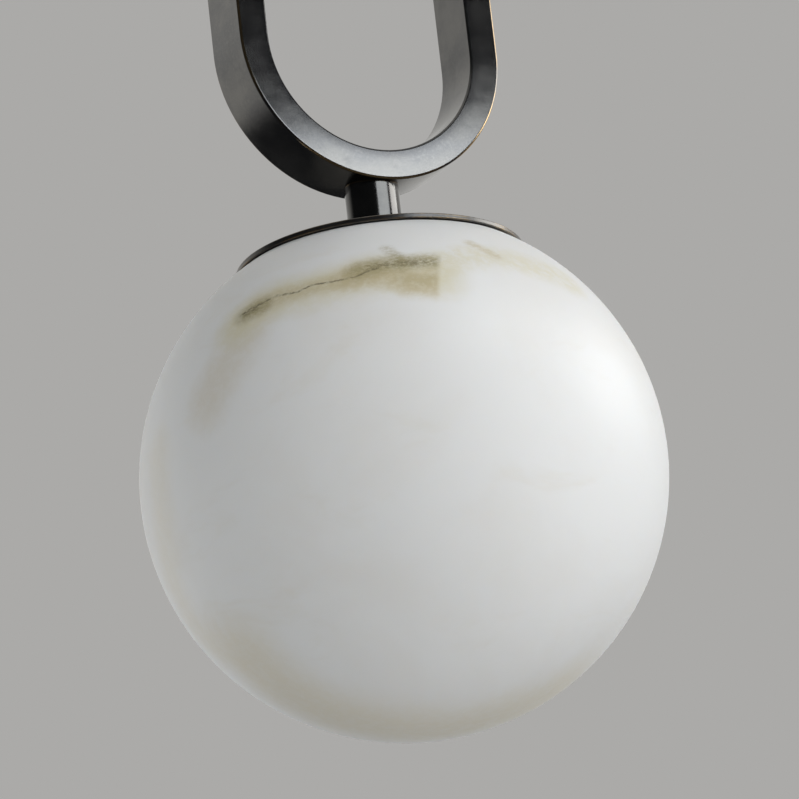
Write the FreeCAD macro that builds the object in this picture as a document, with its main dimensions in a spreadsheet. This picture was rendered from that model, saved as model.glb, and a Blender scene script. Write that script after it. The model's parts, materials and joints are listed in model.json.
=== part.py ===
import FreeCAD, Part
import math
import os
import re

import Sketcher
from FreeCAD import Vector

# An alabaster globe pendant. A canopy holds a hang-straight knuckle, the knuckle holds a down
# rod, and the rod holds an oval link of hollow bar. A short neck under the link carries the cap
# plate, the lampholder and, on three headed studs, the globe.
#
# The origin is the middle of the ceiling bracket's top face, +Z is up and the link's window
# faces along Y. Lengths are millimetres and angles are degrees.

SIZES = {
    # plays, and how far a cut starts outside the face that it enters
    "free_play": 0.1,
    "screw_hole_play": 0.2,
    "cut_past": 1,
    # alabaster globe, and the pressed ring bonded into its mouth
    "globe_radius": 100,
    "globe_wall": 10,
    "globe_flat_radius": 54.3,
    "mouth_radius": 46,
    "rebate_radius": 50,
    "ring_gauge": 1,
    "ring_glue_gap": 0.2,
    "ring_depth": 4.7,
    "ring_bend_radius": 1.6,
    "ring_inner_radius": 31,
    # bayonet: headed studs under the plate, keyhole slots in the ring
    "stud_count": 3,
    "stud_circle_radius": 37.5,
    "stud_radius": 2,
    "stud_head_radius": 4,
    "stud_head_height": 1.5,
    "slot_play": 0.2,
    "entry_play": 0.5,
    "twist_angle": 25,
    # cap plate and its gasket
    "plate_radius": 55.3,
    "rim_thickness": 2,
    "step_radius": 44,
    "step_height": 4,
    "plate_gauge": 2,
    "plate_edge_round": 0.4,
    "step_round": 1,
    "seat_gap": 0.4,
    "gasket_inner_radius": 46.5,
    "gasket_outer_radius": 53.8,
    "gasket_thickness": 0.95,
    "gasket_play": 0.2,
    # the two necks, and the threaded tubes inside them
    "neck_radius": 10.5,
    "neck_length": 26,
    "neck_saddle_room": 2,
    "edge_chamfer": 0.5,
    "thread_radius": 5,
    "thread_play": 0.05,
    "nipple_bore": 3.75,
    "nipple_past_nut": 1,
    # oval link of hollow bar
    "link_width": 111,
    "link_height": 240,
    "bar_thickness": 12,
    "bar_depth": 25,
    "bar_wall": 1.5,
    "bar_corner": 1,
    "saddle_width": 18,
    "saddle_depth": 20,
    "saddle_thickness": 4,
    # washers, hexagon nuts and the slots in screw heads
    "nut_across_flats": 17,
    "nut_height": 5,
    "nut_cone_width": 2,
    "nut_cone_height": 1.2,
    "washer_radius": 11,
    "washer_thickness": 1,
    "driver_slot_width": 1,
    # down rod and its lock screws
    "rod_radius": 6,
    "rod_length": 300,
    "rod_bore": 3.5,
    "spigot_length": 8,
    "spigot_end_gap": 1,
    "lock_screw_radius": 1.5,
    "lock_screw_drop": 4.5,
    "lock_screw_sink": 0.4,
    "lock_key_radius": 0.85,
    "lock_key_depth": 1.5,
    # hang-straight knuckle
    "yoke_radius": 13,
    "yoke_top": 24,
    "yoke_lip": 3.2,
    "yoke_edge_round": 1,
    "yoke_cavity_radius": 8,
    "cheek_half_width": 10.5,
    "cheek_top": 10.2,
    "cheek_round": 2.5,
    "fork_slot_top": 11.2,
    "fork_slot_width": 12.2,
    "tongue_radius": 10,
    "tongue_thickness": 12,
    "tongue_shoulder": 12.6,
    "tongue_reach": 24,
    "wire_bore": 3,
    "pin_radius": 2.5,
    "pin_thread_radius": 2,
    "pin_head_radius": 3.9,
    "pin_head_top": 12.2,
    "pin_head_seat": 10.6,
    "pin_tip": 3.2,
    "pin_slot_depth": 0.9,
    "running_play": 0.05,
    "stem_flange_radius": 7.5,
    "stem_flange_thickness": 2.2,
    "nylon_thickness": 0.75,
    "stop_circle_radius": 8.8,
    "stop_pin_radius": 1,
    "stop_pin_end_gap": 0.5,
    "stop_groove_width": 2.4,
    "stop_groove_depth": 1.8,
    "turn_limit": 165,
    "turn_ease": 0.5,
    # canopy
    "canopy_radius": 60,
    "canopy_height": 28,
    "canopy_gauge": 1.2,
    "canopy_bend": 8,
    "ceiling_gap": 0.3,
    "swivel_gap": 0.3,
    "stiffener_radius": 22,
    "stiffener_thickness": 2,
    "stem_above_nut": 3,
    "side_screw_drop": 9,
    "side_screw_radius": 2,
    "side_screw_head_radius": 4.5,
    "side_screw_head_length": 5,
    "side_screw_length": 10,
    "side_screw_slot_depth": 1.2,
    # ceiling bracket and what it carries
    "bracket_half_length": 57,
    "bracket_width": 24,
    "bracket_gauge": 2,
    "bracket_bend": 3,
    "bracket_tab": 14,
    "bracket_window_radius": 7,
    "slot_spacing": 72,
    "slot_length": 14,
    "slot_half_width": 2.6,
    "block_offset": 18,
    "block_length": 16,
    "block_height": 13,
    "pole_pitch": 8,
    "pole_count": 3,
    "wire_hole_radius": 1.9,
    "clamp_well_radius": 2,
    "clamp_well_depth": 6,
    "clamp_well_offset": 4.5,
    "clamp_screw_radius": 1.8,
    "clamp_screw_length": 3.5,
    "earth_offset": 17,
    "earth_screw_radius": 2,
    "earth_head_radius": 4,
    "earth_head_height": 3,
    "earth_head_round": 1,
    "earth_washer_radius": 5,
    # lampholder, measured down from the plate's underside
    "holder_top": 3,
    "holder_neck_radius": 8,
    "holder_neck_length": 6,
    "holder_radius": 19.5,
    "holder_shoulder": 18,
    "holder_shoulder_round": 14,
    "holder_split": 26,
    "holder_bottom": 58,
    "holder_mouth_radius": 16.5,
    "holder_skirt": 10,
    "holder_taper": 3,
    "holder_wall": 2,
    "insert_thickness": 7,
    "insert_hole_radius": 2.5,
    "shell_radius": 13.9,
    "shell_gauge": 0.4,
    "shell_set_back": 2,
    "contact_radius": 4,
    "contact_thickness": 1.2,
    "rivet_length": 3,
    # bulb, measured down from the plate's underside
    "bulb_tip": 35,
    "bulb_contact_radius": 4,
    "bulb_contact_round": 1,
    "bulb_cap_radius": 13.1,
    "bulb_cap_top": 37.5,
    "bulb_cap_bottom": 60,
    "bulb_cap_round": 3,
    "bulb_collar_lip": 0.6,
    "bulb_collar_height": 2,
    "bulb_flare_radius": 30,
    "bulb_radius": 22.5,
    "bulb_centre": 86,
    "bulb_wall": 1.2,
    "bulb_board_drop": 77,
    "bulb_board_thickness": 1.6,
    "bulb_board_hole": 1,
    "bulb_board_play": 0.5,
}

doc = FreeCAD.newDocument("alabaster_globe_pendant")
sizes = doc.addObject("Spreadsheet::Sheet", "sizes")
for row, (alias, value) in enumerate(SIZES.items(), start=1):
    sizes.set(f"A{row}", alias.replace("_", " "))
    sizes.set(f"B{row}", str(value))
    sizes.setAlias(f"B{row}", alias)
doc.recompute()

# Levels, each the drop below the ceiling, chained from the canopy down to the globe.
YOKE_TOP = "canopy_height + swivel_gap"
PIN = f"{YOKE_TOP} + yoke_top"
ROD_TOP = f"{PIN} + tongue_reach"
ROD_END = f"{ROD_TOP} + rod_length"
LINK_TOP = f"{ROD_END} + neck_length"
LINK_CENTRE = f"{LINK_TOP} + link_height / 2"
LINK_BOTTOM = f"{LINK_TOP} + link_height"
PLATE_TOP = f"{LINK_BOTTOM} + neck_length"
PLATE = f"{PLATE_TOP} + step_height + rim_thickness"
GLOBE_FLAT = f"{PLATE} + seat_gap"
FLAT_HEIGHT = "sqrt(globe_radius ^ 2 - globe_flat_radius ^ 2)"
GLOBE_CENTRE = f"{GLOBE_FLAT} + {FLAT_HEIGHT}"

LINK_RADIUS = "link_width / 2"
LINK_STRAIGHT = "(link_height - link_width) / 2"
BAR_LINE = "(link_width - bar_thickness) / 2"

HEXAGON_TURNS = ["0", "60", "120", "180", "240", "300"]


def bound(words):
    """Turns the names of sizes into references to the sheet's cells."""
    return re.sub(r"[a-z]+(?:_[a-z]+)+", lambda name: "sizes." + name.group(), words)


def number(words):
    """The value of a formula in the sheet's sizes."""
    return float(sizes.evalExpression(bound(words)))


def new_body(label, drop):
    """A body whose own origin lies on the pendant's axis, a stated drop below the ceiling."""
    body = doc.addObject("PartDesign::Body", label)
    body.Label = label
    body.setExpression("Placement.Base.z", bound(f"-({drop})"))
    return body


def origin_part(body, role):
    """One of the body's own origin planes or axes."""
    return next(item for item in body.Origin.OriginFeatures if item.Role == role)


def sketch_in(body, plane, lift=None):
    """A sketch on one of the body's origin planes, or lifted off it along its normal."""
    sketch = body.newObject("Sketcher::SketchObject", body.Label + "_sketch")
    sketch.AttachmentSupport = (origin_part(body, plane), [""])
    sketch.MapMode = "FlatFace"
    if lift:
        sketch.setExpression("AttachmentOffset.Base.z", bound(lift))
    return sketch


def hold_size(sketch, constraint, words):
    """Adds a dimension to a sketch and binds it to a formula in the sheet's sizes."""
    index = sketch.addConstraint(constraint)
    sketch.setExpression(f"Constraints[{index}]", bound(words))


def hold_point(sketch, edge, point, x, y):
    """Holds a point of a sketch at x, y from the sketch's origin."""
    hold_size(sketch, Sketcher.Constraint("DistanceX", -1, 1, edge, point, number(x)), x)
    hold_size(sketch, Sketcher.Constraint("DistanceY", -1, 1, edge, point, number(y)), y)


def arc_between(start, end, radius, turn):
    """The arc of under a half circle from start to end that turns left or right."""
    chord = end - start
    rise = math.sqrt(max(radius**2 - (chord.Length / 2) ** 2, 0))
    across = Vector(-chord.y, chord.x, 0).normalize() * rise
    centre = (start + end) / 2 + (across if turn == "left" else -across)
    angles = [math.atan2(place.y - centre.y, place.x - centre.x) for place in (start, end)]
    if turn == "right":
        angles.reverse()
    return Part.ArcOfCircle(Part.Circle(centre, Vector(0, 0, 1), radius), *angles)


def draw_outline(sketch, corners):
    """Draws a closed outline. A corner is (x, y), which a straight edge leads to, or
    (x, y, radius, turn), which an arc leads to."""
    places = [Vector(number(corner[0]), number(corner[1]), 0) for corner in corners]
    edges = []
    for index, corner in enumerate(corners):
        start, end = places[index - 1], places[index]
        if len(corner) == 2:
            edge = sketch.addGeometry(Part.LineSegment(start, end))
            edges.append((edge, 1, 2))
            continue
        radius, turn = corner[2:]
        edge = sketch.addGeometry(arc_between(start, end, number(radius), turn))
        edges.append((edge, 1, 2) if turn == "left" else (edge, 2, 1))
        hold_size(sketch, Sketcher.Constraint("Radius", edge, number(radius)), radius)
    for index, (edge, first, last) in enumerate(edges):
        before = edges[index - 1]
        sketch.addConstraint(Sketcher.Constraint("Coincident", before[0], before[2], edge, first))
        hold_point(sketch, edge, last, *corners[index][:2])


def draw_circle(sketch, x, y, radius):
    """Draws a circle about x, y."""
    middle = Vector(number(x), number(y), 0)
    edge = sketch.addGeometry(Part.Circle(middle, Vector(0, 0, 1), number(radius)))
    hold_size(sketch, Sketcher.Constraint("Radius", edge, number(radius)), radius)
    hold_point(sketch, edge, 3, x, y)


def round_about(radius, angle):
    """The corner at an angle on a circle about the sketch's origin."""
    return f"({radius}) * cos({angle})", f"({radius}) * sin({angle})"


def stadium(half_width, half_straight):
    """The corners of an upright stadium: two straight sides and four quarter rounds."""
    return [
        (half_width, half_straight),
        ("0", f"{half_straight} + {half_width}", half_width, "left"),
        (f"-({half_width})", half_straight, half_width, "left"),
        (f"-({half_width})", f"-({half_straight})"),
        ("0", f"-({half_straight} + {half_width})", half_width, "left"),
        (half_width, f"-({half_straight})", half_width, "left"),
    ]


def turned(body, corners, axis="V_Axis", plane="XZ_Plane", cut=False):
    """Turns an outline right round one of its sketch's axes, as a solid or as a cut."""
    sketch = sketch_in(body, plane)
    draw_outline(sketch, corners)
    kind = "PartDesign::Groove" if cut else "PartDesign::Revolution"
    feature = body.newObject(kind, body.Label + ("_groove" if cut else "_turned"))
    feature.Profile = sketch
    feature.ReferenceAxis = (sketch, [axis])
    feature.Angle = 360
    body.Tip = feature
    return feature


def pad(body, sketch, length, both_sides=False, reverse=False):
    """Extrudes a sketch, to one side or half to each."""
    feature = body.newObject("PartDesign::Pad", body.Label + "_pad")
    feature.Profile = sketch
    feature.SideType = "Symmetric" if both_sides else "One side"
    feature.Reversed = reverse
    feature.setExpression("Length", bound(length))
    body.Tip = feature
    return feature


def pocket(body, sketch, depth=None, reverse=False):
    """Cuts a sketch into the body: to a depth on one side, or right through on both."""
    feature = body.newObject("PartDesign::Pocket", body.Label + "_pocket")
    feature.Profile = sketch
    if depth:
        feature.Reversed = reverse
        feature.setExpression("Length", bound(depth))
    else:
        feature.SideType = "Symmetric"
        feature.Type = "ThroughAll"
    body.Tip = feature
    return feature


def hole(body, plane, x, y, radius, depth=None, lift=None, reverse=False):
    """Cuts one round hole."""
    sketch = sketch_in(body, plane, lift)
    draw_circle(sketch, x, y, radius)
    return pocket(body, sketch, depth, reverse)


def ring_of(body, features, count):
    """Repeats features evenly round the vertical axis."""
    pattern = body.newObject("PartDesign::PolarPattern", body.Label + "_ring")
    pattern.Originals = features
    pattern.Axis = (origin_part(body, "Z_Axis"), [""])
    pattern.Angle = 360
    pattern.setExpression("Occurrences", bound(count))
    body.Tip = pattern


def row_of(body, features, axis, pitch, count):
    """Repeats features in a straight row."""
    pattern = body.newObject("PartDesign::LinearPattern", body.Label + "_row")
    pattern.Originals = features
    pattern.Direction = (origin_part(body, axis), [""])
    pattern.setExpression("Length", bound(f"({pitch}) * ({count} - 1)"))
    pattern.setExpression("Occurrences", bound(count))
    body.Tip = pattern


def mirrored(body, features, plane):
    """Repeats features on the other side of an origin plane."""
    mirror = body.newObject("PartDesign::Mirrored", body.Label + "_mirror")
    mirror.Originals = features
    mirror.MirrorPlane = (origin_part(body, plane), [""])
    body.Tip = mirror


def driver_slot(body, plane, end, depth):
    """Cuts a screwdriver slot into the end of a screw that lies along its sketch's X."""
    sketch = sketch_in(body, plane)
    half = "driver_slot_width / 2"
    draw_outline(sketch, [
        (f"{end} + cut_past", half),
        (f"{end} - {depth}", half),
        (f"{end} - {depth}", f"-{half}"),
        (f"{end} + cut_past", f"-{half}"),
    ])
    return pocket(body, sketch)


def turned_ring(label, drop, inner, outer, top, bottom):
    """A plain round washer, sleeve or disc with a hole."""
    body = new_body(label, drop)
    turned(body, [(outer, bottom), (outer, top), (inner, top), (inner, bottom)])
    return body


def hexagon_nut(label, drop, top):
    """A hexagon nut whose corners are turned off on both faces. It hangs below top."""
    body = new_body(label, drop)
    sketch = sketch_in(body, "XY_Plane", top)
    corner_radius = "nut_across_flats / 2 / cos(30)"
    draw_outline(sketch, [round_about(corner_radius, turn) for turn in HEXAGON_TURNS])
    draw_circle(sketch, "0", "0", "thread_radius")
    pad(body, sketch, "nut_height", reverse=True)
    flat, past = "nut_across_flats / 2", "nut_across_flats / 2 + nut_cone_width"
    for face, way in ((top, "-"), (f"{top} - nut_height", "+")):
        cone_foot = (past, f"{face} {way} nut_cone_height")
        turned(body, [(flat, face), (past, face), cone_foot], cut=True)


# Ceiling bracket and what it carries


def ceiling_bracket():
    """A steel strap bent down at both ends, with slots for the ceiling screws."""
    body = new_body("ceiling_bracket", "0")
    half, gauge, bend = "bracket_half_length", "bracket_gauge", "bracket_bend"
    inner_bend = "(bracket_bend - bracket_gauge)"
    sketch = sketch_in(body, "XZ_Plane")
    draw_outline(sketch, [
        (f"-{half}", "-bracket_tab"),
        (f"-{half}", f"-{bend}"),
        (f"-{half} + {bend}", "0", bend, "right"),
        (f"{half} - {bend}", "0"),
        (half, f"-{bend}", bend, "right"),
        (half, "-bracket_tab"),
        (f"{half} - {gauge}", "-bracket_tab"),
        (f"{half} - {gauge}", f"-{bend}"),
        (f"{half} - {bend}", f"-{gauge}", inner_bend, "left"),
        (f"-{half} + {bend}", f"-{gauge}"),
        (f"-{half} + {gauge}", f"-{bend}", inner_bend, "left"),
        (f"-{half} + {gauge}", "-bracket_tab"),
    ])
    pad(body, sketch, "bracket_width", both_sides=True)
    plan = sketch_in(body, "XY_Plane")
    draw_circle(plan, "0", "0", "bracket_window_radius")
    draw_circle(plan, "-earth_offset", "0", "earth_screw_radius + thread_play")
    inside = "slot_spacing / 2 - slot_length / 2 + slot_half_width"
    outside = "slot_spacing / 2 + slot_length / 2 - slot_half_width"
    for side in ("", "-"):
        turn = "left" if side == "" else "right"
        draw_outline(plan, [
            (f"{side}({outside})", "-slot_half_width"),
            (f"{side}({outside} + slot_half_width)", "0", "slot_half_width", turn),
            (f"{side}({outside})", "slot_half_width", "slot_half_width", turn),
            (f"{side}({inside})", "slot_half_width"),
            (f"{side}({inside} - slot_half_width)", "0", "slot_half_width", turn),
            (f"{side}({inside})", "-slot_half_width", "slot_half_width", turn),
        ])
    pocket(body, plan)
    hole(body, "YZ_Plane", "0", "-side_screw_drop", "side_screw_radius + thread_play")


def terminal_block():
    """A moulded strip of three poles, with a wire hole and two clamp wells in each."""
    body = new_body("terminal_block", "bracket_gauge")
    sketch = sketch_in(body, "XY_Plane")
    half_length, half_row = "block_length / 2", "pole_pitch * pole_count / 2"
    draw_outline(sketch, [
        (f"block_offset + {half_length}", f"-{half_row}"),
        (f"block_offset + {half_length}", half_row),
        (f"block_offset - {half_length}", half_row),
        (f"block_offset - {half_length}", f"-{half_row}"),
    ])
    pad(body, sketch, "block_height", reverse=True)
    first = "pole_pitch * (1 - pole_count) / 2"
    wire = hole(body, "YZ_Plane", first, "-block_height / 2", "wire_hole_radius")
    wells = sketch_in(body, "XY_Plane", "-block_height")
    for side in "-+":
        draw_circle(wells, f"block_offset {side} clamp_well_offset", first, "clamp_well_radius")
    well = pocket(body, wells, "clamp_well_depth", reverse=True)
    row_of(body, [wire, well], "Y_Axis", "pole_pitch", "pole_count")


def terminal_screws():
    """The six clamp screws, one at the bottom of each well."""
    body = new_body("terminal_screws", "bracket_gauge + block_height - clamp_well_depth")
    sketch = sketch_in(body, "XY_Plane")
    first = "pole_pitch * (1 - pole_count) / 2"
    for side in "-+":
        draw_circle(sketch, f"block_offset {side} clamp_well_offset", first, "clamp_screw_radius")
    screw = pad(body, sketch, "clamp_screw_length", reverse=True)
    row_of(body, [screw], "Y_Axis", "pole_pitch", "pole_count")


def earth_terminal():
    """The earth screw in the strap, with its washer under its head."""
    screw = new_body("earth_screw", "bracket_gauge")
    screw.setExpression("Placement.Base.x", bound("-earth_offset"))
    foot = "-washer_thickness - earth_head_height"
    turned(screw, [
        ("0", "bracket_gauge - free_play"),
        ("0", foot),
        ("earth_head_radius - earth_head_round", foot),
        ("earth_head_radius", f"{foot} + earth_head_round", "earth_head_round", "left"),
        ("earth_head_radius", "-washer_thickness"),
        ("earth_screw_radius", "-washer_thickness"),
        ("earth_screw_radius", "bracket_gauge - free_play"),
    ])
    washer = turned_ring(
        "earth_washer", "bracket_gauge", "earth_screw_radius + free_play",
        "earth_washer_radius", "0", "-washer_thickness",
    )
    washer.setExpression("Placement.Base.x", bound("-earth_offset"))


# Canopy


def canopy():
    """A spun steel cup with a rounded lower edge, a stem hole and two side holes."""
    body = new_body("canopy", "0")
    rim, inside = "canopy_radius", "canopy_radius - canopy_gauge"
    turned(body, [
        (rim, "-ceiling_gap"),
        (inside, "-ceiling_gap"),
        (inside, "-canopy_height + canopy_bend"),
        ("canopy_radius - canopy_bend", "-canopy_height + canopy_gauge",
         "canopy_bend - canopy_gauge", "right"),
        ("thread_radius + thread_play", "-canopy_height + canopy_gauge"),
        ("thread_radius + thread_play", "-canopy_height"),
        ("canopy_radius - canopy_bend", "-canopy_height"),
        (rim, "-canopy_height + canopy_bend", "canopy_bend", "left"),
    ])
    hole(body, "YZ_Plane", "0", "-side_screw_drop", "side_screw_radius + screw_hole_play")
    hole(body, "XY_Plane", "stop_circle_radius", "0", "stop_pin_radius",
         depth="canopy_gauge + cut_past", lift="-canopy_height - cut_past", reverse=True)


def canopy_screws():
    """Two knurled screws with slotted heads, from the sides into the bracket's tabs."""
    body = new_body("canopy_screws", "side_screw_drop")
    face = "canopy_radius + free_play"
    end = f"{face} + side_screw_head_length"
    screw = turned(body, [
        (f"{face} - side_screw_length", "0"),
        (end, "0"),
        (end, "side_screw_head_radius - edge_chamfer"),
        (f"{end} - edge_chamfer", "side_screw_head_radius"),
        (f"{face} + edge_chamfer", "side_screw_head_radius"),
        (face, "side_screw_head_radius - edge_chamfer"),
        (face, "side_screw_radius"),
        (f"{face} - side_screw_length", "side_screw_radius"),
    ], axis="H_Axis")
    slot = driver_slot(body, "XZ_Plane", end, "side_screw_slot_depth")
    mirrored(body, [screw, slot], "YZ_Plane")


# Hang-straight knuckle


def swivel_stem():
    """A hollow threaded stud. Its flange carries the yoke."""
    body = new_body("swivel_stem", PIN)
    lip_under = "yoke_top - yoke_lip"
    flange_top = f"{lip_under} - nylon_thickness - running_play"
    top = "yoke_top + swivel_gap + canopy_gauge + stiffener_thickness + nut_height + stem_above_nut"
    turned(body, [
        ("nipple_bore", top),
        ("nipple_bore", f"{flange_top} - stem_flange_thickness"),
        ("stem_flange_radius", f"{flange_top} - stem_flange_thickness"),
        ("stem_flange_radius", flange_top),
        ("thread_radius - running_play", flange_top),
        ("thread_radius - running_play", f"{top} - edge_chamfer"),
        ("thread_radius - running_play - edge_chamfer", top),
    ])


def swivel_yoke():
    """A turned cup cut into a fork, with the stop groove in its top face."""
    body = new_body("swivel_yoke", PIN)
    turned(body, [
        ("thread_radius", "yoke_top"),
        ("thread_radius", "yoke_top - yoke_lip"),
        ("yoke_cavity_radius", "yoke_top - yoke_lip"),
        ("yoke_cavity_radius", "cheek_top"),
        ("0", "cheek_top"),
        ("0", "-cheek_half_width"),
        ("yoke_radius", "-cheek_half_width"),
        ("yoke_radius", "yoke_top - yoke_edge_round"),
        ("yoke_radius - yoke_edge_round", "yoke_top", "yoke_edge_round", "left"),
    ])
    beside = sketch_in(body, "XZ_Plane")
    wide, low = "yoke_radius + cut_past", "-cheek_half_width - cut_past"
    draw_outline(beside, [
        (wide, low),
        (wide, "cheek_top"),
        ("cheek_half_width + cheek_round", "cheek_top"),
        ("cheek_half_width", "cheek_top - cheek_round", "cheek_round", "left"),
        ("cheek_half_width", "0"),
        ("0", "-cheek_half_width", "cheek_half_width", "right"),
        ("-cheek_half_width", "0", "cheek_half_width", "right"),
        ("-cheek_half_width", "cheek_top - cheek_round"),
        ("-cheek_half_width - cheek_round", "cheek_top", "cheek_round", "left"),
        (f"-({wide})", "cheek_top"),
        (f"-({wide})", low),
    ])
    pocket(body, beside)
    slot = sketch_in(body, "YZ_Plane")
    draw_outline(slot, [
        ("fork_slot_width / 2", low),
        ("fork_slot_width / 2", "fork_slot_top"),
        ("-fork_slot_width / 2", "fork_slot_top"),
        ("-fork_slot_width / 2", low),
    ])
    pocket(body, slot)
    hole(body, "XZ_Plane", "0", "0", "pin_radius + running_play")
    seat = hole(body, "XZ_Plane", "0", "0", "pin_head_radius + screw_hole_play",
                depth="yoke_radius", lift="pin_head_seat", reverse=True)
    mirrored(body, [seat], "XZ_Plane")
    groove = sketch_in(body, "XY_Plane", "yoke_top")
    end = "((turn_limit + turn_ease) * 1 deg + asin(stop_pin_radius / stop_circle_radius))"
    outer = "stop_circle_radius + stop_groove_width / 2"
    inner = "stop_circle_radius - stop_groove_width / 2"
    angles = [f"-{end}", f"-{end} / 3", f"{end} / 3", end]
    corners = [round_about(outer, angles[0])]
    corners += [(*round_about(outer, angle), outer, "left") for angle in angles[1:]]
    corners += [round_about(inner, angles[3])]
    corners += [(*round_about(inner, angle), inner, "right") for angle in angles[2::-1]]
    draw_outline(groove, corners)
    pocket(body, groove, "stop_groove_depth")


def stop_pin():
    """A pin riveted in the canopy's floor. It runs in the yoke's groove."""
    body = new_body("stop_pin", "canopy_height")
    sketch = sketch_in(body, "XY_Plane", "canopy_gauge")
    draw_circle(sketch, "stop_circle_radius", "0", "stop_pin_radius")
    length = "canopy_gauge + swivel_gap + stop_groove_depth - stop_pin_end_gap"
    pad(body, sketch, length, reverse=True)


def swivel_tongue():
    """A turned post whose top is milled flat on two sides and rounded about the pins."""
    body = new_body("swivel_tongue", PIN)
    socket_top = "-tongue_reach + spigot_length + spigot_end_gap"
    turned(body, [
        ("wire_bore", "tongue_radius"),
        ("wire_bore", socket_top),
        ("thread_radius", socket_top),
        ("thread_radius", "-tongue_reach"),
        ("tongue_radius - edge_chamfer", "-tongue_reach"),
        ("tongue_radius", "-tongue_reach + edge_chamfer"),
        ("tongue_radius", "tongue_radius"),
    ])
    crown = sketch_in(body, "XZ_Plane")
    past = "(tongue_radius + cut_past)"
    draw_outline(crown, [
        ("tongue_radius", "0"),
        ("0", "tongue_radius", "tongue_radius", "left"),
        ("-tongue_radius", "0", "tongue_radius", "left"),
        (f"-{past}", "0"),
        (f"-{past}", past),
        (past, past),
        (past, "0"),
    ])
    pocket(body, crown)
    flats = sketch_in(body, "YZ_Plane")
    for side in ("", "-"):
        draw_outline(flats, [
            (f"{side}tongue_thickness / 2", "-tongue_shoulder"),
            (f"{side}{past}", "-tongue_shoulder"),
            (f"{side}{past}", past),
            (f"{side}tongue_thickness / 2", past),
        ])
    pocket(body, flats)
    hole(body, "XZ_Plane", "0", "0", "pin_thread_radius")
    hole(body, "YZ_Plane", "0", "-tongue_reach + lock_screw_drop", "lock_screw_radius",
         depth="tongue_radius + cut_past", reverse=True)


def swivel_pins():
    """Two shoulder screws, one through each cheek, that reach only as far as the wire bore."""
    body = new_body("swivel_pins", PIN)
    screw = turned(body, [
        ("pin_tip", "0"),
        ("pin_head_top", "0"),
        ("pin_head_top", "pin_head_radius - edge_chamfer"),
        ("pin_head_top - edge_chamfer", "pin_head_radius"),
        ("pin_head_seat + running_play", "pin_head_radius"),
        ("pin_head_seat + running_play", "pin_radius"),
        ("tongue_thickness / 2", "pin_radius"),
        ("tongue_thickness / 2", "pin_thread_radius"),
        ("pin_tip", "pin_thread_radius"),
    ], axis="H_Axis", plane="YZ_Plane")
    slot = driver_slot(body, "YZ_Plane", "pin_head_top", "pin_slot_depth")
    mirrored(body, [screw, slot], "XZ_Plane")


# Down rod, necks and link


def down_rod():
    """A tube with a turned-down threaded spigot at each end."""
    body = new_body("down_rod", ROD_TOP)
    spigot = "thread_radius - thread_play"
    turned(body, [
        ("rod_bore", "spigot_length"),
        ("rod_bore", "-rod_length - spigot_length"),
        (spigot, "-rod_length - spigot_length"),
        (spigot, "-rod_length"),
        ("rod_radius", "-rod_length"),
        ("rod_radius", "0"),
        (spigot, "0"),
        (spigot, "spigot_length"),
    ])


def lock_screw(label, drop, outside):
    """A headless screw, from the side onto a spigot of the rod."""
    body = new_body(label, drop)
    end = f"{outside} - lock_screw_sink"
    sketch = sketch_in(body, "YZ_Plane", end)
    draw_circle(sketch, "0", "0", "lock_screw_radius")
    pad(body, sketch, f"{end} - thread_radius", reverse=True)
    hexagon = sketch_in(body, "YZ_Plane", end)
    draw_outline(hexagon, [round_about("lock_key_radius", turn) for turn in HEXAGON_TURNS])
    pocket(body, hexagon, "lock_key_depth")


def neck(label, drop, way, locked=False):
    """A turned post whose end is hollowed to sit on the link's round back. way is the side
    that the link lies on, - below or + above. A locked one has a hole for the lock screw."""
    body = new_body(label, drop)
    past = f"{way}(neck_length + neck_saddle_room)"
    turned(body, [
        ("thread_radius", "0"),
        ("neck_radius - edge_chamfer", "0"),
        ("neck_radius", f"{way}edge_chamfer"),
        ("neck_radius", past),
        ("thread_radius", past),
    ])
    hole(body, "XZ_Plane", "0", f"{way}(neck_length + {LINK_RADIUS})", LINK_RADIUS)
    if locked:
        hole(body, "YZ_Plane", "0", f"{way}lock_screw_drop", "lock_screw_radius",
             depth="neck_radius + cut_past", reverse=True)


def bar_section(body, wall, corner):
    """The bar's cross-section, shrunk by a wall and with rounded corners, on a straight side."""
    section = sketch_in(body, "XY_Plane")
    right = f"{BAR_LINE} + bar_thickness / 2 - {wall}"
    left = f"{BAR_LINE} - bar_thickness / 2 + {wall}"
    back = f"bar_depth / 2 - {wall}"
    draw_outline(section, [
        (f"{right} - {corner}", f"-({back})"),
        (right, f"-({back}) + {corner}", corner, "left"),
        (right, f"{back} - {corner}"),
        (f"{right} - {corner}", back, corner, "left"),
        (f"{left} + {corner}", back),
        (left, f"{back} - {corner}", corner, "left"),
        (left, f"-({back}) + {corner}"),
        (f"{left} + {corner}", f"-({back})", corner, "left"),
    ])
    return section


def oval_link():
    """Hollow bar swept round a stadium, with one hole through the outer wall at each end."""
    body = new_body("oval_link", LINK_CENTRE)
    path = sketch_in(body, "XZ_Plane")
    draw_outline(path, stadium(BAR_LINE, LINK_STRAIGHT))
    for kind, wall, corner in (
        ("PartDesign::AdditivePipe", "0", "bar_corner"),
        ("PartDesign::SubtractivePipe", "bar_wall", "bar_corner / 2"),
    ):
        sweep = body.newObject(kind, "oval_link_sweep")
        sweep.Profile = bar_section(body, wall, corner)
        sweep.Spine = (path, [])
        body.Tip = sweep
    lower = hole(body, "XY_Plane", "0", "0", "thread_radius", depth="bar_wall + 2 * cut_past",
                 lift="-link_height / 2 - cut_past", reverse=True)
    mirrored(body, [lower], "XY_Plane")


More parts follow.
